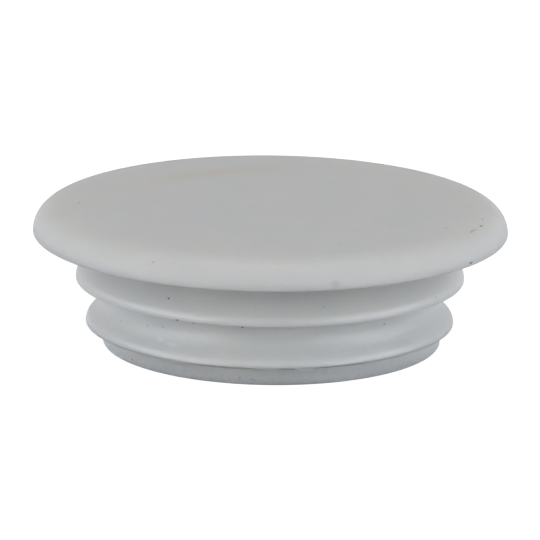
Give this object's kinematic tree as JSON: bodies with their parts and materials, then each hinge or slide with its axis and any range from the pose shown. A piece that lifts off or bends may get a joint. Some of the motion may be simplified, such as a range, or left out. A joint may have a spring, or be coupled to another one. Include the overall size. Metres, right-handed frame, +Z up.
{
  "type": "ribbed hole plug",
  "caption": "Round white plastic cover plug for a panel hole: a low head with a rounded rim on a short hollow stem with springy barbed ribs.",
  "frame": {"origin": "centre of the stem's open end, in the plane of its rim, on which the plug stands", "axes": "+Z up along the axis of the plug, from the open end of the stem to the crown of the head; the plug is the same all round, so +X and +Y are any two square directions"},
  "size_m": [0.044, 0.044, 0.013],
  "materials": {
    "white_plastic": "satin"
  },
  "bodies": {
    "root": {"plug": "white_plastic"}
  },
  "joints": []
}
